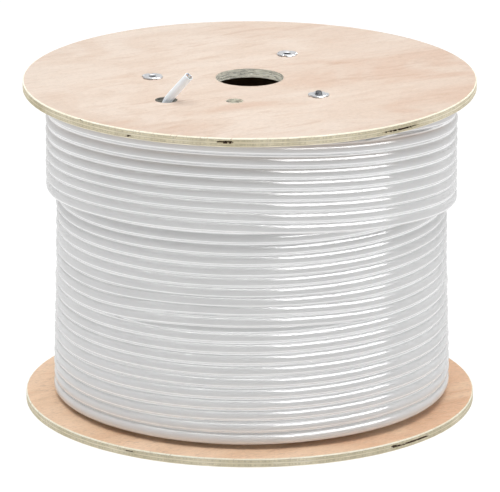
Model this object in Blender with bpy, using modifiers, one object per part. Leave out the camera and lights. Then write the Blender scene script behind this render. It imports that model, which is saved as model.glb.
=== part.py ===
"""Plywood reel of network cable.

Two round plywood flanges are clamped onto a cardboard barrel by three tie bolts that pull on
tee nuts in the top flange. White cable is wound between the flanges in full layers with one
partial layer over them, and its inner end comes up through a hole in the top flange.

The reel stands on its bottom flange: the origin is on the underside at the reel's axis, +Z is up
and -Y is the side where the cable end comes out.
"""

import math

import bmesh
import bpy
from mathutils import Matrix, Vector

MM = 0.001
GAP = 0.3 * MM  # clearance between pieces that touch

# Flanges
FLANGE_R = 200 * MM
PLY = 8 * MM
REEL_HEIGHT = 294 * MM
RIM_ROUND = 0.9 * MM
HUB_HOLE_R = 30 * MM
DRIVE_HOLE_R = 7.5 * MM
DRIVE_HOLE_AT = (79.5 * MM, 260.5)  # radius, degrees from +X
START_HOLE_R = 9.8 * MM
START_HOLE_AT = (104.6 * MM, 226.3)

# Barrel, seated in a groove in each flange
BARREL_R = 94 * MM
BARREL_WALL = 3.5 * MM
GROOVE_DEPTH = 2 * MM

# Tie bolts, washers and tee nuts
BOLT_CIRCLE_R = 85.5 * MM
BOLT_ANGLES = (180.0, -45.5, 67.0)
BOLT_R = 3 * MM
BOLT_HOLE_R = BOLT_R + GAP
BOLT_TOPS = (290 * MM, 298.4 * MM, 290.6 * MM)  # only the second bolt stands out of its nut
BOLT_HEAD_R = 6.5 * MM
BOLT_HEAD_Z = (0.4 * MM, 2.8 * MM)
WASHER_R = 9 * MM
WASHER_THICK = 1.2 * MM
SINK_R = 9.6 * MM
SINK_DEPTH = 4.6 * MM
NUT_FLANGE_R = 9.25 * MM
NUT_FLANGE_THICK = 1.3 * MM
NUT_BARREL_R = 3.9 * MM
NUT_BARREL_LENGTH = 5 * MM
NUT_NOTCHES = 4
NUT_TURN = (12.0, 40.0, 75.0)  # how each nut happens to sit, in degrees

# Cable
CABLE_R = 3.8 * MM
PACK_R = 173.4 * MM
OUTER_LAYER_R = PACK_R + 2 * CABLE_R
OUTER_LAYER_LOW = 190.5 * MM  # the mean height of its wavy lower edge
OUTER_LAYER_SLANT = (8 * MM, 10.5 * MM)  # how far its last turns climb towards -X, and towards -Y
OUTER_LAYER_WAVE = 4.5 * MM  # how far they climb at both ends of Y, and sink at both ends of X
POCKET_R = 9 * MM
POCKET_DEPTH = 12 * MM
JACKET_BORE_R = 3.1 * MM
STRIP_DEPTH = 7 * MM
WIRE_R = 0.5 * MM
WIRE_PROUD = 0.5 * MM
WIRE_SPOT = (1.05 * MM, 1.95 * MM)  # a wire's place in its quarter of the jacket
SEPARATOR_THICK = 0.5 * MM
SEPARATOR_SPAN = 5.4 * MM

# Tape that holds the cable's outer end, at the back
TAPE_THICK = 0.4 * MM
TAPE_WIDTH = 48 * MM
TAPE_LENGTH = 60 * MM
TAPE_MIDDLE_Z = 219.5 * MM
TAPE_ANGLE = 100.0

ROUND = 96  # facets around the large turned pieces
TOP_FACE = REEL_HEIGHT
TOP_INNER = REEL_HEIGHT - PLY
BOTTOM_INNER = PLY

PAIR_COLOURS = {
    "blue": (0.03, 0.16, 0.55),
    "orange": (0.80, 0.25, 0.03),
    "green": (0.04, 0.33, 0.10),
    "brown": (0.17, 0.07, 0.03),
}


def clear_scene():
    for old in list(bpy.data.objects):
        bpy.data.objects.remove(old)


def new_collection(name):
    made = bpy.data.collections.new(name)
    bpy.context.scene.collection.children.link(made)
    return made


def material(name, colour, roughness, metallic=0.0):
    made = bpy.data.materials.new(name)
    made.use_nodes = True
    shader = made.node_tree.nodes["Principled BSDF"]
    shader.inputs["Base Color"].default_value = (*colour, 1.0)
    shader.inputs["Roughness"].default_value = roughness
    shader.inputs["Metallic"].default_value = metallic
    return made


def polar(radius, degrees, z=0.0):
    angle = math.radians(degrees)
    return Vector((radius * math.cos(angle), radius * math.sin(angle), z))


def place(obj, collection, finish=None):
    """Move a new object into its collection and give it its material."""
    for holder in list(obj.users_collection):
        holder.objects.unlink(obj)
    collection.objects.link(obj)
    if finish is not None:
        obj.data.materials.clear()
        obj.data.materials.append(finish)
    return obj


def object_from(name, mesh_tools, collection, finish=None):
    mesh = bpy.data.meshes.new(name)
    mesh_tools.to_mesh(mesh)
    mesh_tools.free()
    return place(bpy.data.objects.new(name, mesh), collection, finish)


def turned(name, profile, collection, finish=None, closed=False, steps=ROUND):
    """Turn a profile of (radius, z) points about Z. It runs down the outer side, top to bottom.

    A closed profile makes a ring. An open one starts and ends on the axis and makes a solid.
    """
    tools = bmesh.new()
    points = [tools.verts.new((r, 0, z)) for r, z in profile]
    ends = zip(points, points[1:] + points[:1]) if closed else zip(points, points[1:])
    for start, end in ends:
        tools.edges.new((start, end))
    made = object_from(name, tools, collection, finish)
    screw = made.modifiers.new("turn", "SCREW")
    screw.axis = "Z"
    screw.steps = steps
    screw.render_steps = steps
    screw.use_merge_vertices = True
    screw.merge_threshold = 0.00001
    screw.use_smooth_shade = True
    return made


def ring_profile(inner, outer, low, high):
    return [(inner, high), (outer, high), (outer, low), (inner, low)]


def plug_profile(radius, low, high):
    return [(0, high), (radius, high), (radius, low), (0, low)]


def as_cutter(obj):
    obj.hide_render = True
    obj.display_type = "WIRE"
    return obj


def cut(obj, cutter):
    boolean = obj.modifiers.new("cut_" + cutter.name, "BOOLEAN")
    boolean.operation = "DIFFERENCE"
    boolean.solver = "EXACT"
    boolean.object = cutter


def hole_cutter(name, profile, centre, cutters, steps=32):
    """A turned cutter stood at centre, whose profile heights are the reel's own."""
    made = as_cutter(turned(name, profile, cutters, steps=steps))
    made.location = centre
    return made


def flange_disc(name, low, collection, finish):
    bpy.ops.mesh.primitive_cylinder_add(vertices=ROUND, radius=FLANGE_R, depth=PLY)
    disc = place(bpy.context.object, collection, finish)
    disc.name = name
    disc.data.name = name
    disc.location.z = low + PLY / 2
    rim = disc.modifiers.new("rounded_rim", "BEVEL")
    rim.width = RIM_ROUND
    rim.segments = 2
    rim.limit_method = "ANGLE"
    return disc


def flange_cutters(label, bolt_profile, groove_low, cutters):
    """The hub hole, the drive hole, the stepped bolt holes and the barrel's groove of a flange.

    Their profiles run past both of its faces, and the groove's runs past the inner one.
    """
    low = groove_low - 2 * PLY
    high = groove_low + 2 * PLY
    hub = plug_profile(HUB_HOLE_R, low, high)
    drive = plug_profile(DRIVE_HOLE_R, low, high)
    made = [
        hole_cutter(f"{label}_hub_hole", hub, (0, 0, 0), cutters, 64),
        hole_cutter(f"{label}_drive_hole", drive, polar(*DRIVE_HOLE_AT), cutters, 24),
    ]
    for number, angle in enumerate(BOLT_ANGLES, 1):
        spot = polar(BOLT_CIRCLE_R, angle)
        made.append(hole_cutter(f"{label}_bolt_hole_{number}", bolt_profile, spot, cutters, 24))
    inner = BARREL_R - BARREL_WALL - GAP
    outer = BARREL_R + GAP
    groove = ring_profile(inner, outer, groove_low, groove_low + 2 * GROOVE_DEPTH)
    made.append(as_cutter(turned(f"{label}_groove", groove, cutters, closed=True)))
    return made


def make_flanges(collection, cutters, plywood):
    nut_seat = TOP_FACE - NUT_BARREL_LENGTH - GAP
    nut_hole = [
        (0, TOP_FACE + PLY),
        (NUT_BARREL_R + GAP, TOP_FACE + PLY),
        (NUT_BARREL_R + GAP, nut_seat),
        (BOLT_HOLE_R, nut_seat),
        (BOLT_HOLE_R, TOP_INNER - PLY),
        (0, TOP_INNER - PLY),
    ]
    top = flange_disc("top_flange", TOP_INNER, collection, plywood)
    tools = flange_cutters("top", nut_hole, TOP_INNER - GROOVE_DEPTH, cutters)
    start_hole = plug_profile(START_HOLE_R, TOP_INNER - PLY, TOP_FACE + PLY)
    tools.append(hole_cutter("top_start_hole", start_hole, polar(*START_HOLE_AT), cutters))
    for tool in tools:
        cut(top, tool)

    sunk_hole = [
        (0, BOTTOM_INNER + PLY),
        (BOLT_HOLE_R, BOTTOM_INNER + PLY),
        (BOLT_HOLE_R, SINK_DEPTH),
        (SINK_R, SINK_DEPTH),
        (SINK_R, -PLY),
        (0, -PLY),
    ]
    bottom = flange_disc("bottom_flange", 0.0, collection, plywood)
    for tool in flange_cutters("bottom", sunk_hole, BOTTOM_INNER - GROOVE_DEPTH, cutters):
        cut(bottom, tool)


def make_barrel(collection, cardboard):
    seat = GROOVE_DEPTH - GAP
    profile = ring_profile(BARREL_R - BARREL_WALL, BARREL_R, BOTTOM_INNER - seat, TOP_INNER + seat)
    turned("barrel_tube", profile, collection, cardboard, closed=True)


def box_cutter(name, size, centre, turn, cutters):
    tools = bmesh.new()
    bmesh.ops.create_cube(tools, size=1.0)
    bmesh.ops.scale(tools, verts=tools.verts, vec=size)
    made = as_cutter(object_from(name, tools, cutters))
    made.location = centre
    made.rotation_euler.z = math.radians(turn)
    return made


def make_tie_bolt(number, spot, top, collection, cutters, steel):
    """A truss-head machine screw with a cross recess, its head sunk in the bottom flange."""
    tip_round = 1.0 * MM
    head_low, head_high = BOLT_HEAD_Z
    profile = [
        (0, top),
        (BOLT_R - tip_round, top),
        (BOLT_R - 0.3 * tip_round, top - 0.3 * tip_round),
        (BOLT_R, top - tip_round),
        (BOLT_R, head_high),
        (BOLT_HEAD_R, head_high),
        (BOLT_HEAD_R, head_high - 0.8 * MM),
        (BOLT_HEAD_R - 0.8 * MM, head_low + 0.6 * MM),
        (BOLT_HEAD_R - 2.2 * MM, head_low),
        (0, head_low),
    ]
    bolt = turned(f"tie_bolt_{number}", profile, collection, steel, steps=16)
    bolt.location = spot
    recess_depth = 1.4 * MM
    slot_size = (5.0 * MM, 1.1 * MM, 2 * recess_depth)
    centre = spot + Vector((0, 0, head_low))
    for turn in (20.0, 110.0):
        name = f"bolt_{number}_recess_{turn:.0f}"
        cut(bolt, box_cutter(name, slot_size, centre, turn + NUT_TURN[number - 1], cutters))


def make_washer(number, spot, collection, steel):
    high = SINK_DEPTH - GAP
    profile = ring_profile(BOLT_R + 0.4 * MM, WASHER_R, high - WASHER_THICK, high)
    washer = turned(f"bolt_washer_{number}", profile, collection, steel, closed=True, steps=24)
    washer.location = spot


def make_tee_nut(number, spot, collection, cutters, steel):
    """A tee nut: a thin round flange with notches where its prongs are bent down, on a barrel."""
    low = TOP_FACE + GAP
    high = low + NUT_FLANGE_THICK
    barrel_low = TOP_FACE - NUT_BARREL_LENGTH
    bore = BOLT_R + GAP
    profile = [
        (bore, high - 0.5 * MM),
        (bore + 0.5 * MM, high),
        (NUT_FLANGE_R - 0.4 * MM, high),
        (NUT_FLANGE_R, high - 0.4 * MM),
        (NUT_FLANGE_R, low),
        (NUT_BARREL_R, low),
        (NUT_BARREL_R, barrel_low),
        (bore, barrel_low),
    ]
    nut = turned(f"tee_nut_{number}", profile, collection, steel, closed=True, steps=24)
    nut.location = spot
    notch_size = (3.0 * MM, 2.6 * MM, 4 * NUT_FLANGE_THICK)
    for notch in range(NUT_NOTCHES):
        turn = NUT_TURN[number - 1] + notch * 360.0 / NUT_NOTCHES
        centre = spot + polar(NUT_FLANGE_R + 0.3 * MM, turn, high)
        name = f"nut_{number}_notch_{notch + 1}"
        cut(nut, box_cutter(name, notch_size, centre, turn, cutters))


def make_fasteners(collection, cutters, steel, zinc):
    for number, (angle, top) in enumerate(zip(BOLT_ANGLES, BOLT_TOPS), 1):
        spot = polar(BOLT_CIRCLE_R, angle)
        make_tie_bolt(number, spot, top, collection, cutters, steel)
        make_washer(number, spot, collection, zinc)
        make_tee_nut(number, spot, collection, cutters, zinc)


def make_outer_layer(collection, jacket):
    """The partial layer as one ring, whose lower edge slants and waves as its last turns do."""
    edge = 2.5 * MM
    inner = PACK_R + GAP
    high = TOP_INNER - GAP
    tools = bmesh.new()
    sections = []
    slant_x, slant_y = OUTER_LAYER_SLANT
    for step in range(ROUND):
        angle = 360.0 * step / ROUND
        around = math.radians(angle)
        low = OUTER_LAYER_LOW - slant_x * math.cos(around) - slant_y * math.sin(around)
        low -= OUTER_LAYER_WAVE * math.cos(2 * around)
        section = [
            (inner, high),
            (OUTER_LAYER_R, high),
            (OUTER_LAYER_R, low + edge),
            (OUTER_LAYER_R - edge, low),
            (inner, low),
        ]
        sections.append([tools.verts.new(polar(radius, angle, z)) for radius, z in section])
    for here, there in zip(sections, sections[1:] + sections[:1]):
        for corner in range(len(here)):
            after = (corner + 1) % len(here)
            tools.faces.new((here[corner], here[after], there[after], there[corner]))
    bmesh.ops.recalc_face_normals(tools, faces=tools.faces)
    object_from("cable_outer_layer", tools, collection, jacket)


def make_winding(collection, cutters, jacket):
    """The outer shape of the full layers, with a pocket where the inner end leaves them."""
    full = ring_profile(BARREL_R + GAP, PACK_R, BOTTOM_INNER + GAP, TOP_INNER - GAP)
    pack = turned("cable_winding", full, collection, jacket, closed=True)
    pocket = plug_profile(POCKET_R, TOP_INNER - POCKET_DEPTH, TOP_INNER + PLY)
    cut(pack, hole_cutter("start_pocket", pocket, polar(*START_HOLE_AT), cutters, 24))
    make_outer_layer(collection, jacket)


def tail_route():
    """The cable end's own route: out of the winding along its innermost turn, up and out."""
    hole = polar(*START_HOLE_AT)
    return [
        hole + Vector((-3.3, 3.1, 276.8)) * MM,
        hole + Vector((-2.4, 2.2, 282.0)) * MM,
        hole + Vector((-1.0, 0.9, 288.0)) * MM,
        hole + Vector((1.2, -0.8, 293.5)) * MM,
        hole + Vector((4.9, -3.0, 299.0)) * MM,
        hole + Vector((9.6, -5.8, 305.0)) * MM,
        hole + Vector((14.8, -8.9, 311.7)) * MM,
        hole + Vector((20.0, -12.0, 318.4)) * MM,
    ]


def smooth_points(route, per_span):
    """Points along a Catmull-Rom curve through the route."""
    ends = [2 * route[0] - route[1], *route, 2 * route[-1] - route[-2]]
    made = []
    for before, start, end, after in zip(ends, ends[1:], ends[2:], ends[3:]):
        for step in range(per_span):
            t = step / per_span
            made.append(
                0.5
                * (
                    2 * start
                    + (end - before) * t
                    + (2 * before - 5 * start + 4 * end - after) * t**2
                    + (3 * start - before - 3 * end + after) * t**3
                )
            )
    made.append(route[-1])
    return made


def tube(name, points, radius, collection, finish, resolution=4):
    """A closed tube mesh along points, from a curve with filled caps."""
    line = bpy.data.curves.new(name, "CURVE")
    line.dimensions = "3D"
    line.bevel_depth = radius
    line.bevel_resolution = resolution
    line.use_fill_caps = True
    spline = line.splines.new("POLY")
    spline.points.add(len(points) - 1)
    for target, point in zip(spline.points, points):
        target.co = (*point, 1.0)
    guide = place(bpy.data.objects.new(name + "_line", line), collection)
    bpy.context.view_layer.update()
    evaluated = guide.evaluated_get(bpy.context.evaluated_depsgraph_get())
    mesh = bpy.data.meshes.new_from_object(evaluated)
    tools = bmesh.new()
    tools.from_mesh(mesh)
    bmesh.ops.remove_doubles(tools, verts=tools.verts, dist=0.00001)
    made = object_from(name, tools, collection, finish)
    made.matrix_world = guide.matrix_world
    bpy.data.objects.remove(guide)
    bpy.data.meshes.remove(mesh)
    return made


def along_axis(obj, origin, direction):
    """Stand an object modelled along Z on origin, pointing along direction."""
    turn = direction.to_track_quat("Z", "Y").to_matrix().to_4x4()
    obj.matrix_world = Matrix.Translation(origin) @ turn
    return obj


def rod(name, radius, low, high, offset, collection, finish, sides):
    """A plain closed cylinder along Z from low to high, its axis moved by offset."""
    tools = bmesh.new()
    bmesh.ops.create_cone(
        tools,
        cap_ends=True,
        segments=sides,
        radius1=radius,
        radius2=radius,
        depth=high - low,
    )
    middle = Vector((offset[0], offset[1], (low + high) / 2))
    bmesh.ops.translate(tools, verts=tools.verts, vec=middle)
    return object_from(name, tools, collection, finish)


def make_separator(low, high, collection, finish):
    """The cross-shaped web that keeps the four pairs apart."""
    half = SEPARATOR_THICK / 2
    span = SEPARATOR_SPAN / 2
    arm = [(half, half), (half, span), (-half, span)]
    outline = []
    for quarter in range(4):
        turn = Matrix.Rotation(math.radians(90 * quarter), 2)
        outline += [turn @ Vector(point) for point in arm]
    line = bpy.data.curves.new("cable_end_separator", "CURVE")
    line.dimensions = "2D"
    line.fill_mode = "BOTH"
    line.extrude = (high - low) / 2
    spline = line.splines.new("POLY")
    spline.points.add(len(outline) - 1)
    for target, point in zip(spline.points, outline):
        target.co = (point.x, point.y, 0.0, 1.0)
    spline.use_cyclic_u = True
    return place(bpy.data.objects.new("cable_end_separator", line), collection, finish)


def make_cable_end(collection, cutters, jacket, finishes):
    """The cable's inner end: its jacket, the separator and eight wires at the cut."""
    points = smooth_points(tail_route(), 2)
    tip = points[-1]
    along = (points[-1] - points[-2]).normalized()
    body = tube("cable_end_jacket", points, CABLE_R, collection, jacket)
    over = 2 * MM
    bore = rod("jacket_bore", JACKET_BORE_R, -STRIP_DEPTH, over, (0, 0), cutters, None, 16)
    cut(body, as_cutter(along_axis(bore, tip, along)))

    low = GAP - STRIP_DEPTH
    web = make_separator(low, 0.0, collection, jacket)
    along_axis(web, tip + along * (low / 2), along)
    names = [(pair, kind) for pair in PAIR_COLOURS for kind in ("solid", "striped")]
    for number, (pair, kind) in enumerate(names):
        near, far = WIRE_SPOT
        spot = Vector((near, far) if kind == "solid" else (far, near))
        spot.rotate(Matrix.Rotation(math.radians(90 * (number // 2)), 2))
        name = f"wire_{pair}_{kind}"
        wire = rod(name, WIRE_R, low, WIRE_PROUD, spot, collection, finishes[pair, kind], 10)
        along_axis(wire, tip, along)


def make_finish_tape(collection, film):
    """A strip of tape around the outer layer, upright over the cable's outer end."""
    tools = bmesh.new()
    bmesh.ops.create_grid(tools, x_segments=10, y_segments=4, size=0.5)
    radius = OUTER_LAYER_R + GAP
    for vert in tools.verts:
        angle = TAPE_ANGLE + math.degrees(vert.co.x * TAPE_WIDTH / radius)
        vert.co = polar(radius, angle, TAPE_MIDDLE_Z + vert.co.y * TAPE_LENGTH)
    strip = object_from("finish_tape", tools, collection, film)
    solid = strip.modifiers.new("thickness", "SOLIDIFY")
    solid.thickness = TAPE_THICK
    solid.offset = 1.0
    return strip


def shade_round(collection):
    for obj in collection.objects:
        if obj.type == "MESH":
            obj.data.shade_smooth()
            obj.data.set_sharp_from_angle(angle=math.radians(35))


def main():
    clear_scene()
    reel = new_collection("cable_reel")
    cutters = new_collection("cutters")
    plywood = material("plywood", (0.80, 0.66, 0.52), 0.62)
    cardboard = material("cardboard", (0.42, 0.29, 0.18), 0.90)
    steel = material("plated_steel", (0.62, 0.62, 0.60), 0.35, 1.0)
    zinc = material("bright_zinc", (0.78, 0.79, 0.80), 0.28, 1.0)
    jacket = material("white_jacket", (0.72, 0.72, 0.73), 0.38)
    film = material("clear_tape", (0.74, 0.73, 0.66), 0.22)
    wires = {}
    for pair, colour in PAIR_COLOURS.items():
        pale = tuple(0.55 + 0.35 * channel for channel in colour)
        wires[pair, "solid"] = material(f"wire_{pair}", colour, 0.45)
        wires[pair, "striped"] = material(f"wire_pale_{pair}", pale, 0.45)

    make_flanges(reel, cutters, plywood)
    make_barrel(reel, cardboard)
    make_fasteners(reel, cutters, steel, zinc)
    make_winding(reel, cutters, jacket)
    make_cable_end(reel, cutters, jacket, wires)
    make_finish_tape(reel, film)
    shade_round(reel)
    bpy.context.view_layer.update()


main()
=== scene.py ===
"""The looks of the plywood cable reel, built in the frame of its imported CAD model."""

import math

import bmesh
import bpy
from mathutils import Matrix, Vector, noise


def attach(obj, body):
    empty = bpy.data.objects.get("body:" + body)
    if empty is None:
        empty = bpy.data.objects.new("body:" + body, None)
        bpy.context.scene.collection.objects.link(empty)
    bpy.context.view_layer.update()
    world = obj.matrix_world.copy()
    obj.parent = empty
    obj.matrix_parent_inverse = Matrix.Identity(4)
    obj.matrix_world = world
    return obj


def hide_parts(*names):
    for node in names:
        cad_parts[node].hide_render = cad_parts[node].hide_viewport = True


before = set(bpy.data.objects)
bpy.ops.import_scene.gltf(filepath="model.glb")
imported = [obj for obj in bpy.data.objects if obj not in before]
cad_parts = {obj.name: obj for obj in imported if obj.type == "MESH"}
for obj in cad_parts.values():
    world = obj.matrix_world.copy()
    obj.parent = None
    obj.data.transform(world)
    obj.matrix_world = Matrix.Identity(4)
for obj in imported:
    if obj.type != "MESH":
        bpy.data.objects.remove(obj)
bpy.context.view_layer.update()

MM = 0.001

# Flanges
FLANGE_R = 200 * MM
PLY = 8 * MM
TOP_FACE = 294 * MM
TOP_INNER = TOP_FACE - PLY
HUB_HOLE_R = 30 * MM
DRIVE_HOLE_R = 7.5 * MM
DRIVE_HOLE_AT = (79.5 * MM, 260.5)
START_HOLE_R = 9.8 * MM
START_HOLE_AT = (104.6 * MM, 226.3)
GROOVE = (90.2 * MM, 94.3 * MM, 2 * MM)  # inner radius, outer radius, depth

# Fasteners
BOLT_CIRCLE_R = 85.5 * MM
BOLT_ANGLES = (180.0, -45.5, 67.0)
BOLT_TOPS = (290 * MM, 298.4 * MM, 290.6 * MM)
BOLT_R = 3 * MM
THREAD_PITCH = 1 * MM
THREAD_DEPTH = 0.45 * MM
NUT_TURN = (12.0, 40.0, 75.0)  # how far each tee nut and its bolt are turned, in degrees
SHANK_HOLE_R = 3.3 * MM
NUT_HOLE = (4.2 * MM, 5.3 * MM)  # radius, depth below the top face
HEAD_POCKET = (9.6 * MM, 4.6 * MM)  # radius, depth above the underside

# Cable
CABLE_R = 3.8 * MM
# Half the thickness and half the width of a tightly wound turn, and how square it is pressed
PRESSED = (3.75 * MM, 4.9 * MM, 2.1)
FULL_R = 168.8 * MM  # radius of the centre line of the outermost full layer
UNDER_R = FULL_R - 2 * CABLE_R
FULL_PITCH = 9.93 * MM
FULL_START = (100.0, 12.7 * MM)  # angle in degrees and height where the layer's first turn starts
FULL_TURNS = (-0.299, 26.5694)
UNDER_START = (352.4, 13.1 * MM)
UNDER_TURNS = (0, 26.9)
# How far the band's centre line has fallen after each turn
BAND_FALL = [h * MM for h in (-10.0, 0.0, 10.6, 20.9, 31.0, 40.8, 50.6, 60.0, 69.8, 79.6)]
BAND_START_ANGLE = 233.0
BAND_TURNS = (-0.8, 7.631)
BAND_SLACK = 0.95 * MM  # how far the band stands off the layer that it lies on
# Height of the band's centre line before it falls, at every 45 degrees from +X
BAND_LIFT = [h * MM for h in (262.5, 264.0, 266.5, 268.0, 268.5, 276.8, 279.6, 272.6)]
CLIMB = 0.12  # share of a turn in which the cable climbs from one layer to the next
LOWEST = PLY + 0.2 * MM + PRESSED[1]
HIGHEST = TOP_INNER - 0.2 * MM - PRESSED[1]
# Where a turn of the layer beneath has come up in front between two turns of the full layer
STRAY_AT = 268.0
STRAY_TURN = 10.23
# The last pass of the full layer below the stray turn, and how far each pass above it is raised
PARTED_PASS = 9.467
PARTED = [h * MM for h in (4.2, 4.9, 2.7, 1.2, 0.5)]
FINE = (128, 18)  # steps in each turn of a wound cable, and sides of the cable
COARSE = (84, 10)

# Tape over the cable's outer end
TAPE_AT = (100.0, 7.6)  # its middle and half its length round the winding, in degrees
TAPE_Z = (186.0 * MM, 244.0 * MM)
TAPE_THICK = 0.12 * MM


def polar(radius, degrees, z=0.0):
    """The point at a radius from the reel's axis, an angle from +X and a height."""
    angle = math.radians(degrees)
    return Vector((radius * math.cos(angle), radius * math.sin(angle), z))


def smoothstep(low, high, value):
    """A smooth step from 0 at low to 1 at high. It falls instead where low is above high."""
    t = min(1.0, max(0.0, (value - low) / (high - low)))
    return t * t * (3 - 2 * t)


# ---------------------------------------------------------------- camera


def make_camera():
    """A long lens at the photograph's distance and height, with the reel a little above centre."""
    distance = 4.786
    elevation = math.radians(16.77)
    back = Vector((0, -math.cos(elevation), math.sin(elevation)))
    up = Vector((0, math.sin(elevation), math.cos(elevation)))
    centre = Vector((0.0003, 0, TOP_FACE / 2))
    camera = bpy.data.objects.new("camera", bpy.data.cameras.new("camera"))
    bpy.context.scene.collection.objects.link(camera)
    camera.data.sensor_width = 36
    camera.data.lens = 388.3
    camera.data.clip_start = 0.1
    camera.data.clip_end = 50
    camera.location = centre + back * distance - up * 7.6 * MM
    camera.rotation_euler = (-back).to_track_quat("-Z", "Y").to_euler()
    bpy.context.scene.camera = camera


# ---------------------------------------------------------------- materials


class Paint:
    """A material's node tree around one Principled BSDF."""

    def __init__(self, name, roughness=0.5, metallic=0.0, **sockets):
        self.material = bpy.data.materials.new(name)
        self.material.use_nodes = True
        self.tree = self.material.node_tree
        self.tree.nodes.clear()
        output = self.tree.nodes.new("ShaderNodeOutputMaterial")
        self.shader = self.tree.nodes.new("ShaderNodeBsdfPrincipled")
        self.tree.links.new(self.shader.outputs[0], output.inputs[0])
        self.shader.inputs["Roughness"].default_value = roughness
        self.shader.inputs["Metallic"].default_value = metallic
        for key, value in sockets.items():
            self.shader.inputs[key.replace("_", " ")].default_value = value
        self.place = self.add("TexCoord").outputs["Object"]

    def add(self, kind, inputs=None, **settings):
        made = self.tree.nodes.new("ShaderNode" + kind)
        for key, value in settings.items():
            setattr(made, key, value)
        for key, value in (inputs or {}).items():
            if isinstance(value, bpy.types.NodeSocket):
                self.tree.links.new(value, made.inputs[key])
            else:
                made.inputs[key].default_value = value
        return made

    def mapped(self, scale=(1, 1, 1), turn=0.0, shift=(0, 0, 0)):
        spin = self.add("Mapping", {"Vector": self.place, "Rotation": (0, 0, math.radians(turn))})
        inputs = {"Vector": spin.outputs[0], "Scale": scale, "Location": shift}
        return self.add("Mapping", inputs).outputs[0]

    def noise(self, scale, detail=4.0, rough=0.55, bend=0.0, at=None):
        inputs = {"Scale": scale, "Detail": detail, "Roughness": rough, "Distortion": bend}
        inputs["Vector"] = at or self.place
        return self.add("TexNoise", inputs).outputs["Fac"]

    def ramp(self, factor, stops):
        made = self.add("ValToRGB", {"Fac": factor})
        made.color_ramp.interpolation = "EASE"
        elements = made.color_ramp.elements
        while len(elements) < len(stops):
            elements.new(0.5)
        for element, (position, colour) in zip(elements, stops):
            element.position = position
            level = colour if isinstance(colour, tuple) else (colour,) * 3
            element.color = (*level, 1.0)
        return made.outputs["Color"]

    def mix(self, factor, first, second, blend="MIX"):
        inputs = {"Fac": factor}
        for key, value in (("Color1", first), ("Color2", second)):
            inputs[key] = (*value, 1.0) if isinstance(value, tuple) else value
        return self.add("MixRGB", inputs, blend_type=blend).outputs[0]

    def maths(self, operation, first, second):
        return self.add("Math", {0: first, 1: second}, operation=operation).outputs[0]

    def glow(self, colour, strength):
        self.shader.inputs["Emission Color"].default_value = (*colour, 1)
        self.shader.inputs["Emission Strength"].default_value = strength

    def finish(self, colour, roughness=None, height=None, distance=0.0002, strength=1.0):
        self.tree.links.new(colour, self.shader.inputs["Base Color"])
        if roughness is not None:
            self.tree.links.new(roughness, self.shader.inputs["Roughness"])
        if height is not None:
            bump = {"Height": height, "Distance": distance, "Strength": strength}
            normal = self.add("Bump", bump).outputs[0]
            self.tree.links.new(normal, self.shader.inputs["Normal"])
        return self.material


def veneer(name, cream, pink, shade, seed, pores_from=0.60):
    """A sanded face veneer: broad pink stains, a steady shift from cream at -X to pink at +X,
    streaks along the grain and short open pores.
    """
    paint = Paint(name, Specular_IOR_Level=0.3)
    grain = -30.0
    across = paint.add("SeparateXYZ", {0: paint.place}).outputs["X"]
    broad = paint.noise(1.0, 4, 0.55, 0.9, paint.mapped((8, 15, 8), grain, (seed, 0, 0)))
    # Paler and creamier towards -X, darker and pinker towards +X
    broad = paint.maths("ADD", broad, paint.maths("MULTIPLY", across, 0.45))
    stain = paint.ramp(broad, [(0.36, cream), (0.52, shade), (0.66, pink)])
    streaks = paint.noise(1.0, 7, 0.62, 0.9, paint.mapped((22, 90, 22), grain, (0, seed, 0)))
    darker = paint.ramp(streaks, [(0.34, (0.90, 0.83, 0.79)), (0.52, (1.0, 1.0, 1.0))])
    patches = paint.noise(1.0, 3, 0.5, 0.4, paint.mapped((6, 20, 6), grain, (seed, 2, 0)))
    mask = paint.ramp(patches, [(0.42, 0.12), (0.62, 0.8)])
    colour = paint.mix(mask, stain, darker, "MULTIPLY")
    figure_at = paint.mapped((26, 60, 26), grain, (seed, seed, 0))
    figure = paint.noise(1.0, 5, 0.6, 2.2, figure_at)
    ripple = paint.ramp(figure, [(0.42, 0.965), (0.5, 1.0), (0.6, 0.98)])
    colour = paint.mix(0.8, colour, ripple, "MULTIPLY")
    pores = paint.noise(1.0, 2, 0.5, 0.0, paint.mapped((170, 800, 170), grain))
    clumps = paint.noise(42, 3)
    open_pores = paint.ramp(pores, [(pores_from, 0.0), (pores_from + 0.10, 0.8)])
    fleck = paint.maths("MULTIPLY", open_pores, clumps)
    colour = paint.mix(fleck, colour, (0.45, 0.29, 0.20))
    fuzz = paint.noise(420, 3, 0.7)
    colour = paint.mix(0.5, colour, paint.ramp(fuzz, [(0.3, 0.90), (0.7, 1.06)]), "MULTIPLY")
    rough = paint.ramp(streaks, [(0.3, 0.72), (0.7, 0.54)])
    height = paint.maths("SUBTRACT", paint.maths("MULTIPLY", streaks, 0.6), fleck)
    return paint.finish(colour, rough, height, 0.00015, 0.6)


def edge_ply(name, light, dark, across):
    """The sawn edge of one ply: fine lines along it, or the dotted end grain of a cross ply."""
    paint = Paint(name, Specular_IOR_Level=0.25)
    lines = paint.noise(1.0, 4, 0.6, 0.0, paint.mapped((60, 60, 1500)))
    blotch = paint.noise(16, 5, 0.65)
    saw = paint.noise(1.0, 3, 0.6, 0.0, paint.mapped((520, 520, 90)))
    base = paint.ramp(blotch, [(0.3, light), (0.7, dark)])
    detail = saw if across else lines
    colour = paint.mix(0.9, base, paint.ramp(detail, [(0.3, 0.80), (0.62, 1.05)]), "MULTIPLY")
    rough = paint.ramp(saw, [(0.3, 0.85), (0.7, 0.68)])
    return paint.finish(colour, rough, detail, 0.0003, 0.7)


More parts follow.
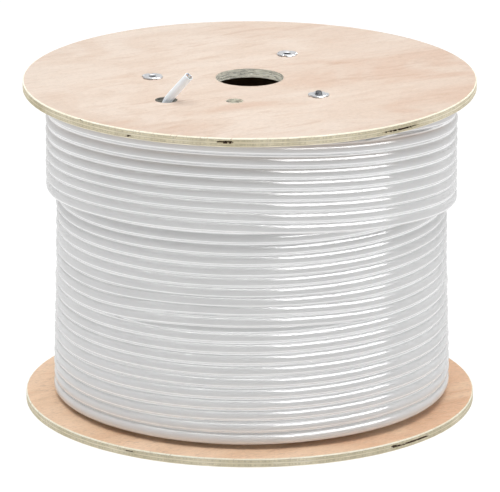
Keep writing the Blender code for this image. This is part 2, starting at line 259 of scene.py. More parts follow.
def hole_wall(name, level, glow):
    """The bored wall of a hole: plies in their order, torn into grey-green fibres. level scales
    its colour and paints shade where it is below 1, and glow is painted light on the wall.
    """
    paint = Paint(name, 0.85, Specular_IOR_Level=0.2)
    paint.glow((1.0, 0.97, 0.84), glow)
    fibres = paint.noise(1.0, 5, 0.7, 0.6, paint.mapped((90, 90, 620)))
    plies = paint.noise(1.0, 1, 0.5, 0.0, paint.mapped((4, 4, 330)))
    light, dark = ((level * c for c in tone) for tone in ((0.96, 0.93, 0.80), (0.80, 0.77, 0.64)))
    base = paint.ramp(plies, [(0.35, tuple(dark)), (0.62, tuple(light))])
    colour = paint.mix(0.9, base, paint.ramp(fibres, [(0.38, 0.30), (0.56, 1.1)]), "MULTIPLY")
    return paint.finish(colour, None, fibres, 0.0009, 0.9)


def plain_void():
    """The inside of a gap in a flange's edge, painted nearly black as painted shade, mottled a
    little.
    """
    paint = Paint("plywood_void_painted_shade", 0.9, Specular_IOR_Level=0.1)
    void_mottle = paint.noise(900, 3)
    return paint.finish(paint.ramp(void_mottle, [(0.3, (0.05, 0.03, 0.02)), (0.8, (0.17, 0.11, 0.07))]))


def jacket_paint(name, level, roughness, tint=(1.0, 1.0, 1.0), glow=0.0, shine=0.0):
    """White PVC: faint drawing lines and soft scuffs. shine is an even painted glow over the whole
    surface, and glow is painted light: painted highlight lines along the turns' edges and painted
    light in the creases between them."""
    paint = Paint(name, Specular_IOR_Level=0.6)
    cloud = paint.noise(18, 4, 0.6)
    fine = paint.noise(1.0, 4, 0.6, 0.0, paint.mapped((240, 240, 1500)))
    shades = [(0.3, tuple(0.97 * level * c for c in tint)), (0.7, tuple(level * c for c in tint))]
    base = paint.ramp(cloud, shades)
    colour = paint.mix(0.5, base, paint.ramp(fine, [(0.3, 0.98), (0.7, 1.01)]), "MULTIPLY")
    scuff = paint.noise(30, 3, 0.6)
    rough = paint.ramp(scuff, [(0.35, roughness), (0.72, roughness + 0.05)])
    paint.glow(tint, shine)
    if glow:
        light_creases(paint, glow)
    return paint.finish(colour, rough, fine, 0.00003, 0.4)


def light_creases(paint, glow):
    """A painted glow: painted highlight lines along the lower edges and the upper shoulders of the
    turns, and painted light on their undersides and in the creases between them. It varies with
    the way the surface faces, from 0 straight down to 1 straight up, and fades out at the lowest
    turns, next to the base."""
    facing = paint.add("TexCoord").outputs["Normal"]
    up = paint.add("SeparateXYZ", {0: facing}).outputs["Z"]
    height = paint.add("SeparateXYZ", {0: paint.place}).outputs["Z"]
    shift = {"From Min": 0.04, "From Max": 0.18, "To Min": 0.43, "To Max": 0.5, "Value": height}
    half = paint.maths("MULTIPLY", up, 0.5)
    place = paint.maths("ADD", half, paint.add("MapRange", shift).outputs[0])
    # Painted light by facing: on undersides, a highlight line along each lower edge, and a
    # highlight line on each upper shoulder
    facing_down = [(0.0, 1.0), (0.09, 0.45), (0.15, 0.12), (0.23, 0.15), (0.275, 1.3)]
    facing_up = [(0.325, 0.12), (0.43, 0.0), (0.87, 0.0), (0.96, 0.9)]
    fade = {"From Min": 0.012, "From Max": 0.030, "Value": height}
    clear = paint.add("MapRange", fade).outputs[0]
    lit = paint.maths("MULTIPLY", paint.ramp(place, facing_down + facing_up), clear)
    lit = paint.maths("MULTIPLY", lit, glow)
    paint.tree.links.new(lit, paint.shader.inputs["Emission Strength"])


def metal(name, colour, low, high, scratch=(900, 900, 900)):
    """Plated steel with a mottled tarnish and fine scratches."""
    paint = Paint(name, metallic=1.0)
    cloud = paint.noise(350, 5, 0.65)
    dull = tuple(0.72 * c for c in colour)
    base = paint.ramp(cloud, [(0.32, dull), (0.6, colour)])
    lines = paint.noise(1.0, 4, 0.6, 0.3, paint.mapped(scratch, 25))
    rough = paint.ramp(cloud, [(0.3, high), (0.7, low)])
    return paint.finish(base, rough, lines, 0.00005, 0.6)


def kraft():
    """Spirally wound kraft board: fibres and mottling."""
    paint = Paint("kraft_board", 0.88, Specular_IOR_Level=0.15)
    fibres = paint.noise(1.0, 6, 0.7, 0.4, paint.mapped((300, 300, 900)))
    mottle = paint.noise(25, 4, 0.6)
    base = paint.ramp(mottle, [(0.3, (0.20, 0.135, 0.08)), (0.7, (0.27, 0.185, 0.11))])
    colour = paint.mix(0.7, base, paint.ramp(fibres, [(0.3, 0.75), (0.7, 1.1)]), "MULTIPLY")
    return paint.finish(colour, None, fibres, 0.0004, 0.6)


def insulation(name, colour):
    """The slightly mottled plastic of a wire or the separator."""
    paint = Paint(name, 0.42, Specular_IOR_Level=0.5)
    cloud = paint.noise(900, 3)
    darker = tuple(0.82 * c for c in colour)
    base = paint.ramp(cloud, [(0.3, darker), (0.7, colour)])
    return paint.finish(base, None, cloud, 0.00002, 0.4)


def tape_paint():
    """Clear packing tape: faintly yellow, glossy, with air caught under it in places."""
    paint = Paint("clear_tape", 0.14, Alpha=0.26, Specular_IOR_Level=0.6)
    air = paint.noise(160, 5, 0.7, 0.6)
    colour = paint.ramp(air, [(0.4, (0.82, 0.79, 0.69)), (0.62, (0.93, 0.92, 0.88))])
    rough = paint.ramp(air, [(0.4, 0.12), (0.65, 0.3)])
    return paint.finish(colour, rough, air, 0.0001, 0.6)


# ---------------------------------------------------------------- meshes


def show(name, verts, faces, materials, indices=None, sharp=None):
    """A new mesh object, smooth shaded, with edges over the sharp angle kept crisp."""
    mesh = bpy.data.meshes.new(name)
    mesh.from_pydata(verts, [], faces)
    for finish in materials:
        mesh.materials.append(finish)
    if indices is not None:
        mesh.polygons.foreach_set("material_index", indices)
    mesh.polygons.foreach_set("use_smooth", [True] * len(mesh.polygons))
    mesh.update()
    if sharp is not None:
        mesh.set_sharp_from_angle(angle=math.radians(sharp))
    obj = bpy.data.objects.new(name, mesh)
    bpy.context.scene.collection.objects.link(obj)
    return obj


def stack(rings, closed=False):
    """Faces that join rings of points, each with as many points as the next. The last ring joins
    the first where closed is true, and both get a cap where it isn't."""
    sides = len(rings[0])
    verts = [point for ring in rings for point in ring]
    pairs = list(zip(range(len(rings) - 1), range(1, len(rings))))
    if closed:
        pairs.append((len(rings) - 1, 0))
    faces = []
    for here, there in pairs:
        for side in range(sides):
            after = (side + 1) % sides
            low, high = here * sides, there * sides
            faces.append((low + side, low + after, high + after, high + side))
    if not closed:
        last = (len(rings) - 1) * sides
        faces.append(tuple(reversed(range(sides))))
        faces.append(tuple(range(last, last + sides)))
    return verts, faces


def level_ring(radius, z, steps, centre=Vector((0, 0, 0)), change=None):
    """A level ring of points. change(degrees) gives an amount to add to its radius."""
    points = []
    for step in range(steps):
        degrees = 360.0 * step / steps
        extra = change(degrees) if change else 0.0
        points.append(centre + polar(radius + extra, degrees, z))
    return points


def turned(name, profile, steps, materials, centre=Vector((0, 0, 0)), closed=False):
    """A turned piece. Its profile of (radius, z) runs upwards on the outside."""
    rings = [level_ring(radius, z, steps, centre) for radius, z in profile]
    verts, faces = stack(rings, closed=closed)
    return show(name, verts, faces, materials, sharp=35)


def tube_rings(points, side_ways, shape, sides):
    """Rings of points around a path. side_ways gives each point a direction across the path,
    and shape is half the tube's size that way, half its size the other way and the power of
    its outline, 2 for an ellipse and more for a squarer one."""
    thick, wide, power = shape
    rings = []
    count = len(points)
    for number, (point, across) in enumerate(zip(points, side_ways)):
        before = points[max(0, number - 1)]
        after = points[min(count - 1, number + 1)]
        along = (after - before).normalized()
        first = (across - along * across.dot(along)).normalized()
        second = along.cross(first)
        ring = []
        for side in range(sides):
            turn = 2 * math.pi * side / sides
            out, over = math.cos(turn), math.sin(turn)
            out = math.copysign(abs(out) ** (2 / power), out)
            over = math.copysign(abs(over) ** (2 / power), over)
            ring.append(point + thick * out * first + wide * over * second)
        rings.append(ring)
    return rings


def cut_from(obj, cutters):
    """Take the cutters, closed meshes that don't touch each other, out of obj and delete them."""
    with bpy.context.temp_override(active_object=cutters[0], selected_editable_objects=cutters):
        bpy.ops.object.join()
    tool = cutters[0]
    boolean = obj.modifiers.new("holes", "BOOLEAN")
    boolean.operation = "DIFFERENCE"
    boolean.solver = "EXACT"
    boolean.material_mode = "TRANSFER"
    boolean.object = tool
    bpy.context.view_layer.update()
    evaluated = obj.evaluated_get(bpy.context.evaluated_depsgraph_get())
    result = bpy.data.meshes.new_from_object(evaluated)
    obj.modifiers.clear()
    old = obj.data
    obj.data = result
    bpy.data.meshes.remove(old)
    bpy.data.objects.remove(tool)
    obj.data.set_sharp_from_angle(angle=math.radians(35))
    obj.data.name = obj.name


def curve_point(before, start, end, after, t):
    """The point at t, from 0 to 1, on the stretch from start to end of a Catmull-Rom curve."""
    return 0.5 * (
        2 * start
        + (end - before) * t
        + (2 * before - 5 * start + 4 * end - after) * t**2
        + (3 * start - before - 3 * end + after) * t**3
    )


# ---------------------------------------------------------------- cable end


def tail_route():
    """The cable end's own route: out of the winding along its innermost turn, up and out."""
    hole = polar(*START_HOLE_AT)
    return [
        hole + Vector((-3.3, 3.1, 276.8)) * MM,
        hole + Vector((-2.4, 2.2, 282.0)) * MM,
        hole + Vector((-1.0, 0.9, 288.0)) * MM,
        hole + Vector((1.2, -0.8, 293.5)) * MM,
        hole + Vector((4.9, -3.0, 299.0)) * MM,
        hole + Vector((9.6, -5.8, 305.0)) * MM,
        hole + Vector((14.8, -8.9, 311.7)) * MM,
        hole + Vector((20.0, -12.0, 318.4)) * MM,
    ]


def smooth_points(route, per_span):
    """Points along a Catmull-Rom curve through the route."""
    ends = [2 * route[0] - route[1], *route, 2 * route[-1] - route[-2]]
    made = []
    for span in zip(ends, ends[1:], ends[2:], ends[3:]):
        made += [curve_point(*span, step / per_span) for step in range(per_span)]
    made.append(route[-1])
    return made


def make_cable_end(jacket, copper):
    """The cut cable end: its jacket with a bore at the cut, four twisted pairs and their cores."""
    sides = 32
    bore = 3.1 * MM
    depth = 7 * MM
    path = smooth_points(tail_route(), 6)
    tip = path[-1]
    along = (tip - path[-2]).normalized()
    across = along.cross(Vector((0, 0, 1))).normalized()
    lip = [(CABLE_R - 0.12 * MM, 0.0), (CABLE_R - 0.3 * MM, 0.06 * MM), (bore, 0.02 * MM)]
    inside = [(bore, -0.3 * depth), (bore, -0.65 * depth), (bore, -depth)]
    rings = tube_rings(path[:-1], [across] * (len(path) - 1), (CABLE_R, CABLE_R, 2), sides)
    second = along.cross(across)
    for radius, beyond in [(CABLE_R, -0.15 * MM), *lip, *inside]:
        ring = []
        for side in range(sides):
            turn = 2 * math.pi * side / sides
            spoke = math.cos(turn) * across + math.sin(turn) * second
            ring.append(tip + along * beyond + spoke * radius)
        rings.append(ring)
    verts, faces = stack(rings)
    body = show("cable_tail", verts, faces, [jacket], sharp=40)

    low = 0.3 * MM - depth
    proud = 0.5 * MM  # how far the wires stand out of the cut
    lay = 12 * MM  # length in which a pair turns once
    steps = 12
    facing = along.to_track_quat("Z", "Y")
    pairs = {
        "blue": (0.22, 0.38, 0.64),
        "orange": (0.70, 0.44, 0.28),
        "green": (0.22, 0.42, 0.30),
        "brown": (0.20, 0.13, 0.10),
    }
    made = []
    for number, (pair, colour) in enumerate(pairs.items()):
        pale = tuple(0.55 + 0.35 * channel for channel in colour)
        middle = Matrix.Rotation(math.radians(90 * number), 2) @ Vector((1.5, 1.5)) * MM
        for kind, finish, start in (("solid", colour, 0.0), ("striped", pale, 180.0)):
            points = []
            for step in range(steps + 1):
                z = proud + (low - proud) * (1 - step / steps)
                turn = math.radians(135 + 90 * number + start) + (z - proud) / lay * math.tau
                spot = middle + Vector((math.cos(turn), math.sin(turn))) * 0.636 * MM
                points.append(tip + facing @ Vector((spot.x, spot.y, z)))
            name = f"wire_{pair}_{kind}"
            rings = tube_rings(points, [across] * len(points), (0.5 * MM, 0.5 * MM, 2), 14)
            verts, faces = stack(rings)
            wire = show(f"{name}_twisted", verts, faces, [insulation(name, finish)], sharp=40)
            ends = [points[-1] - along * 0.2 * MM, points[-1], points[-1] + along * 0.18 * MM]
            core_rings = tube_rings(ends, [across] * len(ends), (0.27 * MM, 0.27 * MM, 2), 10)
            core = show(f"{name}_core", *stack(core_rings), [copper], sharp=40)
            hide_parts(name)
            made += [wire, core]
    for piece in [body, *made]:
        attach(piece, "root")
    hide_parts("cable_end_jacket")


# ---------------------------------------------------------------- winding


def swell(degrees, z):
    """How far the full layer's turns lie outside their mean radius at a place on it."""
    around = polar(1.1, degrees)
    lump = noise.noise(Vector((around.x, around.y, z / (15 * MM) + 5)))
    foot = 3.4 * MM * smoothstep(170 * MM, 0, z)
    lopsided = 1.7 * MM * math.cos(math.radians(degrees))
    return 0.65 * MM * (1 + lump) + foot + lopsided


def wander(degrees, z, turns, seed):
    """How far a turn strays up or down: a drift it shares with its neighbours and its own."""
    around = polar(1.4, degrees)
    shared = noise.noise(Vector((around.x, around.y + seed, z / (32 * MM))))
    own = noise.noise(Vector((3.3 * turns, seed, 1.7)))
    return 0.75 * MM * shared + 0.2 * MM * own


def full_layer(turns):
    """The outermost full layer: it rises with the angle, and parts in front over a stray turn."""
    angle, low = FULL_START
    degrees = angle + 360 * turns
    z = low + FULL_PITCH * turns
    front = abs((degrees - STRAY_AT + 180) % 360 - 180)
    number = round(turns - PARTED_PASS) - 1
    push = PARTED[number] if 0 <= number < len(PARTED) else 0.0
    z += push * smoothstep(52, 8, front) + wander(degrees, z, turns, 0.0)
    z += 1.2 * MM * math.sin(math.pi * min(1.0, max(0.0, turns / 20)))
    z += 3.4 * MM * smoothstep(20.5, FULL_TURNS[1], turns)
    rise = smoothstep(FULL_TURNS[0], FULL_TURNS[0] + CLIMB, turns)
    radius = UNDER_R + (FULL_R - UNDER_R + swell(degrees, z)) * rise
    return degrees, radius, min(max(z, LOWEST), HIGHEST)


def under_layer(turns):
    """The layer beneath, which falls with the angle, and one turn of it that has come up."""
    angle, low = UNDER_START
    degrees = angle - 360 * turns
    z = low + FULL_PITCH * turns
    away = (degrees - STRAY_AT + 180) % 360 - 180
    stray = smoothstep(60, 22, abs(away)) if abs(turns - STRAY_TURN) < 0.3 else 0.0
    passes = PARTED_PASS + 0.5 + away / 360
    gap = FULL_START[1] + FULL_PITCH * passes + 1.2 * MM + 0.5 * PARTED[0]
    return degrees, UNDER_R + 6.4 * MM * stray, z + (gap - z) * stray


def band_lift(degrees):
    """A smooth closed curve through the heights in BAND_LIFT."""
    count = len(BAND_LIFT)
    place = (degrees % 360) / (360 / count)
    number = int(place)
    return curve_point(*(BAND_LIFT[(number + k) % count] for k in (-1, 0, 1, 2)), place - number)


def band(turns):
    """The partial layer over the upper part, which falls with the angle."""
    degrees = BAND_START_ANGLE + 360 * turns
    whole = math.floor(turns)
    before, after = BAND_FALL[whole + 1], BAND_FALL[whole + 2]
    z = band_lift(degrees) - before - (after - before) * (turns - whole)
    start = BAND_TURNS[0]
    rise = smoothstep(start, start + CLIMB, turns)
    z += 0.4 * MM * noise.noise(Vector((3.1 * turns, 9.0, 4.2)))
    lump = 0.3 * MM * noise.noise(Vector((2.3 * turns, 3.0, 8.0)))
    radius = FULL_R + swell(degrees, z) + (2 * CABLE_R + BAND_SLACK + lump) * rise
    return degrees, radius, min(z, HIGHEST)


def wind(name, spot, span, detail, finishes, hidden):
    """One long cable wound along spot(turns), which gives its degrees, radius and height. It
    takes the second finish wherever hidden(turns) is true."""
    start, end = span
    per_turn, sides = detail
    steps = round((end - start) * per_turn)
    points, ways, indices = [], [], []
    for step in range(steps + 1):
        turns = start + (end - start) * step / steps
        degrees, radius, z = spot(turns)
        points.append(polar(radius, degrees, z))
        around = polar(1.5, degrees)
        lean = noise.noise(Vector((around.x, around.y, z / (9 * MM))))
        ways.append(polar(1.0, degrees, 0.03 + 0.10 * lean))
        if step < steps:
            indices += [int(hidden(turns))] * sides
    rings = tube_rings(points, ways, PRESSED, sides)
    verts, faces = stack(rings)
    return show(name, verts, faces, finishes, [*indices, 0, 0])


def under_band(turns):
    """Whether the band covers a place on the full layer."""
    degrees, _, z = full_layer(turns)
    last = BAND_TURNS[1] - (BAND_START_ANGLE + 360 * BAND_TURNS[1] - degrees) / 360 % 1
    return z > band(last)[2]


def make_winding(jacket, deep):
    """The layers that show, wound turn by turn, over a plain core that fills the rest."""
    both = [jacket, deep]
    full = wind("winding_full_layer", full_layer, FULL_TURNS, FINE, both, under_band)
    under = wind(
        *("winding_under_layer", under_layer, UNDER_TURNS, COARSE, both),
        lambda turns: under_layer(turns)[1] == UNDER_R,
    )
    partial = wind("winding_partial_layer", band, BAND_TURNS, FINE, [jacket], lambda turns: False)
    inner, outer = GROOVE[1], UNDER_R - 1.5 * MM
    low, high = PLY + 0.3 * MM, TOP_INNER - 0.3 * MM
    profile = [(inner, low), (outer, low), (outer, high), (inner, high)]
    core = turned("winding_core", profile, 160, [deep], closed=True)
    # Room for the cable end where it leaves the winding
    room = [(9 * MM, TOP_INNER - 12 * MM), (9 * MM, TOP_INNER + PLY)]
    cut_from(core, [turned("pocket", room, 32, [deep], polar(*START_HOLE_AT))])
    for piece in (full, under, partial, core):
        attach(piece, "root")
    for piece in (full, under, core):
        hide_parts("cable_winding")
    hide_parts("cable_outer_layer")


def crests_at(degrees):
    """The radius and height of each turn of the band and the full layer at one angle."""
    crests = []
    for spot, (first, last) in ((band, BAND_TURNS), (full_layer, FULL_TURNS)):
        turns = first + ((degrees - spot(0)[0]) / 360 - first) % 1
        while turns <= last:
            crests.append(spot(turns)[1:])
            turns += 1
    return crests


def skin_radius(crests, z):
    """How far out the winding reaches at a height."""
    tops = [
        radius + PRESSED[0] * math.sqrt(1 - ((z - centre) / PRESSED[1]) ** 2)
        for radius, centre in crests
        if abs(z - centre) < PRESSED[1]
    ]
    return max(tops, default=FULL_R)


def stretched(skin, row, reach):
    """How far out a film stretched over a list of radii lies at a row of it."""
    best = skin[row]
    for below in range(max(0, row - reach), row):
        for above in range(row + 1, min(len(skin) - 1, row + reach) + 1):
            share = (row - below) / (above - below)
            best = max(best, skin[below] + share * (skin[above] - skin[below]))
    return best


def make_tape(film):
    """The strip over the cable's outer end, drawn down a little between the turns."""
    middle, half = TAPE_AT
    low, high = TAPE_Z
    columns, rows = 16, 90
    heights = [low + (high - low) * row / rows for row in range(rows + 1)]
    rings = []
    for column in range(columns + 1):
        degrees = middle - half + 2 * half * column / columns
        crests = crests_at(degrees)
        skin = [skin_radius(crests, z) for z in heights]
        inner, outer = [], []
        for row, z in enumerate(heights):
            taut = stretched(skin, row, 12)
            sag = min(0.9 * MM, 0.45 * (taut - skin[row]))
            crease = 0.12 * MM * noise.noise(Vector((degrees * 0.5, z * 160, 2.0)))
            radius = taut - sag + 0.25 * MM + crease
            inner.append(polar(radius, degrees, z))
            outer.append(polar(radius + TAPE_THICK, degrees, z))
        rings.append(inner + outer[::-1])
    verts, faces = stack(rings)
    tape = show("end_tape", verts, faces, [film], sharp=50)
    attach(tape, "root")
    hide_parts("finish_tape")


# ---------------------------------------------------------------- flanges

# Depths below the face, in mm, of the rings of points down a flange's edge
EDGE_LEVELS = (
    0.0, 0.12, 0.35, 0.8, 1.25, 1.4, 1.5, 2.3, 3.1, 3.2, 3.3, 4.0,
    4.7, 4.8, 4.9, 5.7, 6.5, 6.6, 6.75, 7.2, 7.65, 7.88, 8.0,
)
GLUE_LINES = (1.4, 3.2, 4.8, 6.6)
# Gaps in the edge: middle in degrees, half its length, its depth below the face and half its
# height in mm, how deep it goes in mm
TOP_GAPS = (
    (264.0, 1.9, 3.6, 0.75, 2.2),
    (310.5, 6.2, 4.8, 0.42, 1.4),
    (223.6, 0.8, 1.3, 0.4, 1.0),
    (239.0, 0.7, 5.6, 0.5, 0.9),
    (28.0, 2.6, 3.2, 0.6, 1.8),
    (117.0, 3.4, 4.9, 0.5, 1.5),
    (161.0, 1.2, 3.9, 0.8, 2.0),
)
BASE_GAPS = (
    (315.0, 6.5, 4.3, 0.3, 1.3),
    (309.0, 1.1, 3.4, 0.6, 1.2),
    (238.5, 1.2, 3.0, 0.4, 0.9),
    (64.0, 3.1, 4.7, 0.5, 1.6),
    (142.0, 1.6, 3.3, 0.7, 1.9),
)


def edge_offset(degrees, depth, seed, gaps):
    """How far a point of a flange's sawn edge lies from the flange's radius, in mm."""
    corner = min(depth, 8 - depth)
    offset = -0.9 * (1 - min(1.0, corner / 0.8)) ** 2
    around = polar(1.0, degrees)
    grain = Vector((around.x * 70, around.y * 70, depth * 1.3 + seed))
    chips = Vector((around.x * 26, around.y * 26, depth * 0.8 + seed))
    offset += 0.10 * noise.noise(grain) + 0.12 * noise.noise(chips)
    if min(abs(depth - line) for line in GLUE_LINES) < 0.01:
        offset -= 0.16
    return offset - gap_depth(degrees, depth, gaps)


def gap_depth(degrees, depth, gaps):
    """How deep a gap goes in at a point of a flange's edge, in mm, or 0 where there is none."""
    deepest = 0.0
    for middle, half, level, height, deep in gaps:
        along = (degrees - middle + 180) % 360 - 180
        ragged = 1 + 0.35 * noise.noise(Vector((degrees * 2.4, level, 3.0)))
        drift = level + 0.35 * noise.noise(Vector((degrees * 0.5, level, 7.0)))
        reach = math.sqrt(max(0.0, 1 - (along / half) ** 2)) * ragged
        if reach > 0 and abs(depth - drift) < height * reach + 0.12:
            deepest = max(deepest, deep * min(1.0, reach * 1.4))
    return deepest


def flange_edge(name, high, seed, gaps, finishes):
    """A flange before its holes are cut: two flat faces and an edge of five plies."""
    steps = 720
    rings, faces_of = [], []
    for depth in reversed(EDGE_LEVELS):
        ring = []
        for step in range(steps):
            degrees = 360.0 * step / steps
            offset = edge_offset(degrees, depth, seed, gaps) * MM
            ring.append(polar(FLANGE_R - 0.35 * MM + offset, degrees, high - depth * MM))
        rings.append(ring)
    verts, faces = stack(rings)
    # The arris faces take a much lighter finish, partly for torn, sanded fibres and partly as a
    # painted highlight. The gaps take a near-black finish as painted shade
    face, arris, ply, cross, glue, void = range(6)
    levels = list(reversed(EDGE_LEVELS))
    for below, above in zip(levels, levels[1:]):
        middle = (below + above) / 2
        for step in range(steps):
            degrees = 360.0 * (step + 0.5) / steps
            if gap_depth(degrees, middle, gaps) > 0.5:
                faces_of.append(void)
            elif middle < 1.1 or middle > 7.5:
                faces_of.append(arris)
            elif min(abs(middle - line) for line in GLUE_LINES) < 0.11:
                faces_of.append(glue)
            else:
                number = sum(middle > line for line in GLUE_LINES)
                faces_of.append(cross if number % 2 else ply)
    faces_of += [face, face]
    return show(name, verts, faces, finishes, faces_of, sharp=35)


def bore_tool(name, profile, centre, steps, ragged, wall, seed=0.0):
    """A closed cutter turned round centre, its wall made ragged by up to that much."""
    rings = []
    for radius, z in profile:

        def rough(degrees, z=z):
            around = polar(1.0, degrees)
            spot = Vector((around.x * 7, around.y * 7, z * 420 + seed))
            return ragged * noise.noise(spot)

        rings.append(level_ring(radius, z, steps, centre, rough if ragged else None))
    verts, faces = stack(rings)
    return show(name, verts, faces, [wall])


def bore_profile(radius, low, high, levels):
    return [(radius, low + (high - low) * k / levels) for k in range(levels + 1)]


def groove_tool(low, high, wall):
    """A cutter for the ring groove that the barrel is seated in."""
    inner, outer, _ = GROOVE
    profile = [(inner, low), (outer, low), (outer, high), (inner, high)]
    return turned("groove", profile, 160, [wall], closed=True)


def make_flange(name, low, seed, finishes, wall, shaded_bore, top):
    """A flange with its holes and its groove for the barrel. Only the top one has a start hole,
    and its bolt holes take tee nuts where the other's take the bolts' heads."""
    flange = flange_edge(name, low + PLY, seed, TOP_GAPS if top else BASE_GAPS, finishes)
    start, end = low - 2 * MM, low + PLY + 2 * MM
    hub = bore_profile(HUB_HOLE_R, start, end, 14)
    drive = bore_profile(DRIVE_HOLE_R, start, end, 12)
    torn = 0.75 * MM if top else 0.3 * MM
    tools = [
        bore_tool("hub", hub, Vector(), 180, 0.3 * MM, wall),
        bore_tool("drive", drive, polar(*DRIVE_HOLE_AT), 72, torn, wall, 4.0),
    ]
    below, above = SHANK_HOLE_R, NUT_HOLE[0]
    seat = TOP_FACE - NUT_HOLE[1]
    if not top:
        below, above = HEAD_POCKET[0], SHANK_HOLE_R
        seat = HEAD_POCKET[1]
    profile = [(below, start), (below, seat), (above, seat + 0.02 * MM), (above, end)]
    for number, angle in enumerate(BOLT_ANGLES):
        spot = polar(BOLT_CIRCLE_R, angle)
        tools.append(bore_tool(f"bolt_hole_{number}", profile, spot, 48, 0, wall))
    inside, depth = low if top else low + PLY, GROOVE[2]
    tools.append(groove_tool(inside - depth, inside + depth, wall))
    if top:
        profile = bore_profile(START_HOLE_R, start, end, 12)
        spot = polar(*START_HOLE_AT)
        # The start hole's wall takes the copy painted dark, as painted shade
        tools.append(bore_tool("start", profile, spot, 96, 0.22 * MM, shaded_bore, 2.0))
    cut_from(flange, tools)
    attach(flange, "root")
    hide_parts("top_flange" if top else "bottom_flange")


# ---------------------------------------------------------------- fasteners


def make_tee_nut(number, spot, zinc, thread):
    """A tee nut: a pressed round flange with square notches, rolled into a threaded barrel."""
    steps = 96
    low, high = TOP_FACE + 0.3 * MM, TOP_FACE + 1.6 * MM
    turn = NUT_TURN[number - 1]

    def notched(degrees):
        away = (degrees - turn + 45) % 90 - 45
        return -1.55 * MM * smoothstep(11.5, 9.0, abs(away))

    rings = []

    def ring(radius, z, change=None):
        rings.append(level_ring(radius, z, steps, spot, change))

    bottom = TOP_FACE - 5 * MM
    for k in range(13):
        groove = 0.22 * MM if k % 2 else 0.0
        ring(3.3 * MM - groove, high - 0.5 * MM - (high - 0.5 * MM - bottom) * k / 12)
    ring(3.9 * MM, bottom)
    ring(3.9 * MM, low)
    ring(9.0 * MM, low, notched)
    ring(9.25 * MM, low + 0.2 * MM, notched)
    ring(9.25 * MM, high - 0.45 * MM, notched)
    ring(9.05 * MM, high - 0.12 * MM, notched)
    ring(8.75 * MM, high - 0.02 * MM, notched)
    ring(6.6 * MM, high - 0.06 * MM)
    ring(5.0 * MM, high - 0.08 * MM)
    ring(4.3 * MM, high)
    ring(3.75 * MM, high - 0.12 * MM)
    verts, faces = stack(rings, closed=True)
    # The bore's faces take the second finish, painted nearly black as painted shade
    indices = [int(face < 12 * steps) for face in range(len(faces))]
    nut = show(f"tee_nut_{number}_pressed", verts, faces, [zinc, thread], indices, sharp=38)
    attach(nut, "root")
    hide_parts(f"tee_nut_{number}")


def make_tie_bolt(number, spot, top, steel):
    """A truss-head screw: cross recess below, plain shank, a true helical thread at its end."""
    steps = 28
    rings = []
    for radius, z in ((2.2, 0.4), (4.3, 0.4), (5.7, 1.0), (6.5, 2.0), (6.5, 2.8), (3.0, 2.8)):
        rings.append(level_ring(radius * MM, z * MM, steps, spot))
    thread_low = top - 11 * MM
    rings.append(level_ring(BOLT_R, thread_low - 1 * MM, steps, spot))
    rows = 8
    z = thread_low
    while z < top - 0.9 * MM:

        def cut(degrees, z=z):
            phase = (z / THREAD_PITCH - degrees / 360) % 1
            fade = smoothstep(thread_low, thread_low + THREAD_PITCH, z)
            return -THREAD_DEPTH * fade * abs(2 * phase - 1)

        rings.append(level_ring(BOLT_R, z, steps, spot, cut))
        z += THREAD_PITCH / rows
    for radius, below in ((2.55, 0.7), (2.3, 0.3), (1.75, 0.05), (0.8, 0.0)):
        rings.append(level_ring(radius * MM, top - below * MM, steps, spot))
    verts, faces = stack(rings)
    bolt = show(f"tie_bolt_{number}_threaded", verts, faces, [steel], sharp=50)
    tools = []
    for turn in (20.0, 110.0):
        corners = []
        for z in (-1.0, 1.8):
            taper = 1.0 if z < 0 else 0.72
            square = []
            for x, y in ((-2.5, -0.55), (2.5, -0.55), (2.5, 0.55), (-2.5, 0.55)):
                corner = Vector((x * taper, y * taper, z)) * MM
                corner.rotate(Matrix.Rotation(math.radians(turn + NUT_TURN[number - 1]), 3, "Z"))
                square.append(spot + corner)
            corners.append(square)
        tools.append(show(f"recess_{turn:.0f}", *stack(corners), [steel]))
    for tool in tools:  # one at a time, because the two cross each other
        cut_from(bolt, [tool])
    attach(bolt, "root")
    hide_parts(f"tie_bolt_{number}")


# ---------------------------------------------------------------- floor, light


def make_floor():
    """A plain pale floor, bright enough to run out to white. Reflections don't show it."""
    paint = Paint("studio_floor", 0.9, Specular_IOR_Level=0.0)
    paint.glow((1, 1, 1), 0.95)
    cloud = paint.noise(3, 3)
    finish = paint.finish(paint.ramp(cloud, [(0.3, (0.11,) * 3), (0.7, (0.13,) * 3)]))
    size = 12
    verts = [(-size, -size, 0), (size, -size, 0), (size, size, 0), (-size, size, 0)]
    floor = show("floor", verts, [(0, 1, 2, 3)], [finish])
    floor.visible_glossy = False
    floor.visible_shadow = False


def area_light(name, spot, target, size, power, glossy_only=False):
    data = bpy.data.lights.new(name, "AREA")
    data.shape = "RECTANGLE"
    data.size, data.size_y = size
    data.energy = power
    light = bpy.data.objects.new(name, data)
    bpy.context.scene.collection.objects.link(light)
    light.location = spot
    light.rotation_euler = (Vector(target) - Vector(spot)).to_track_quat("-Z", "Y").to_euler()
    light.visible_camera = False
    if glossy_only:
        light.visible_diffuse = False
    return light


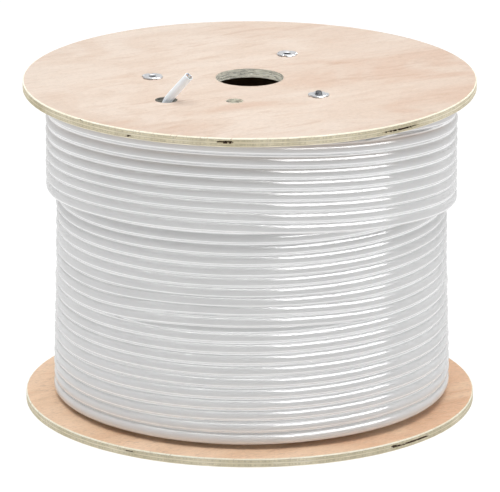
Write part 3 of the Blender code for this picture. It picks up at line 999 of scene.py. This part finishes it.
def make_lights():
    """A soft light overhead, two panes for the gloss only, and a sky that is brighter behind."""
    world = bpy.data.worlds.new("studio")
    bpy.context.scene.world = world
    world.use_nodes = True
    tree = world.node_tree
    tree.nodes.clear()
    output = tree.nodes.new("ShaderNodeOutputWorld")
    back = tree.nodes.new("ShaderNodeBackground")
    tree.links.new(back.outputs[0], output.inputs[0])
    coords = tree.nodes.new("ShaderNodeTexCoord")
    split = tree.nodes.new("ShaderNodeSeparateXYZ")
    tree.links.new(coords.outputs["Generated"], split.inputs[0])
    ramp = tree.nodes.new("ShaderNodeMapRange")
    ramp.inputs["From Min"].default_value = -1.0
    ramp.inputs["From Max"].default_value = 1.0
    ramp.inputs["To Min"].default_value = 0.12
    ramp.inputs["To Max"].default_value = 1.1
    tree.links.new(split.outputs["Y"], ramp.inputs["Value"])
    tree.links.new(ramp.outputs[0], back.inputs["Strength"])
    middle = Vector((0, 0, 0.15))
    area_light("overhead", (0.0, -0.25, 3.0), middle, (3.2, 3.2), 105)
    for name, turn, rise, size, power in (
        ("side_window", 50, 28, (2.45, 1.1), 124),
        ("front_strip", -32, 58, (2.6, 0.16), 22),
    ):
        across, up = math.radians(turn), math.radians(rise)
        level = math.cos(up)
        way = Vector((math.sin(across) * level, -math.cos(across) * level, math.sin(up)))
        area_light(name, middle + 2.0 * way, middle, size, power, True)
    bpy.context.scene.view_settings.view_transform = "Standard"


def main():
    # The winding's jacket carries the painted crease glow. Its inner copy, for the covered turns
    # and the core, is painted lighter and carries the same glow, which paints light into the gaps
    # where they show
    jacket = jacket_paint("white_jacket", 0.775, 0.14, glow=0.28)
    deep = jacket_paint("white_jacket_inner", 0.92, 0.3, glow=0.26)
    # The cable end: a lighter, slightly blue copy of the jacket, with an even painted glow
    tail = jacket_paint("white_jacket_end", 0.95, 0.3, (0.90, 0.95, 1.0), shine=0.10)
    zinc = metal("bright_zinc", (0.66, 0.67, 0.69), 0.28, 0.42)
    steel = metal("plated_steel", (0.085, 0.088, 0.095), 0.36, 0.5)
    # The tee nuts' threaded bores: nearly black, as painted shade inside the bore
    thread = metal("nut_bore_painted_shade", (0.035, 0.035, 0.037), 0.5, 0.65)
    copper = metal("copper", (0.78, 0.38, 0.22), 0.22, 0.34, (3000, 3000, 3000))
    # The bore walls glow a little, as painted light. The start hole's copy is painted much darker
    # and without glow, as painted shade
    wall = hole_wall("plywood_bore", 1.0, 0.13)
    shaded_bore = hole_wall("plywood_bore_painted_shade", 0.3, 0.0)
    edges = [
        # The arris is much lighter than the face: partly its torn, sanded fibres and partly a
        # painted highlight where light catches the rounded edge
        veneer("arris", (0.99, 0.95, 0.80), (0.93, 0.86, 0.68), (0.97, 0.92, 0.75), 3.0),
        edge_ply("ply_edge", (0.95, 0.88, 0.69), (0.72, 0.64, 0.44), False),
        edge_ply("cross_ply_edge", (0.84, 0.76, 0.56), (0.60, 0.53, 0.35), True),
        edge_ply("glue_line", (0.56, 0.46, 0.33), (0.42, 0.33, 0.23), False),
        plain_void(),
    ]
    top = veneer("veneer_top", (0.63, 0.53, 0.45), (0.56, 0.415, 0.325), (0.595, 0.48, 0.395), 0.0)
    # The base face is painted lighter and warmer than the top face's veneer: painted light that
    # lifts the shade under the top flange and stands for warm bounce light
    base_tones_painted_lighter = ((0.875, 0.625, 0.435), (0.765, 0.485, 0.31), (0.81, 0.555, 0.368))
    base = veneer("veneer_base", *base_tones_painted_lighter, 1.7, 0.56)

    make_camera()
    make_cable_end(tail, copper)
    make_winding(jacket, deep)
    make_tape(tape_paint())
    make_flange("flange_top", TOP_INNER, 0.0, [top, *edges], wall, shaded_bore, True)
    make_flange("flange_base", 0.0, 5.0, [base, *edges], wall, shaded_bore, False)
    for number, (angle, height) in enumerate(zip(BOLT_ANGLES, BOLT_TOPS), 1):
        spot = polar(BOLT_CIRCLE_R, angle)
        make_tee_nut(number, spot, zinc, thread)
        make_tie_bolt(number, spot, height, steel)
        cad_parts[f"bolt_washer_{number}"].data.materials[0] = zinc
    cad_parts["barrel_tube"].data.materials[0] = kraft()
    separator = insulation("separator", (0.70, 0.70, 0.68))
    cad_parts["cable_end_separator"].data.materials[0] = separator
    make_floor()
    make_lights()


main()
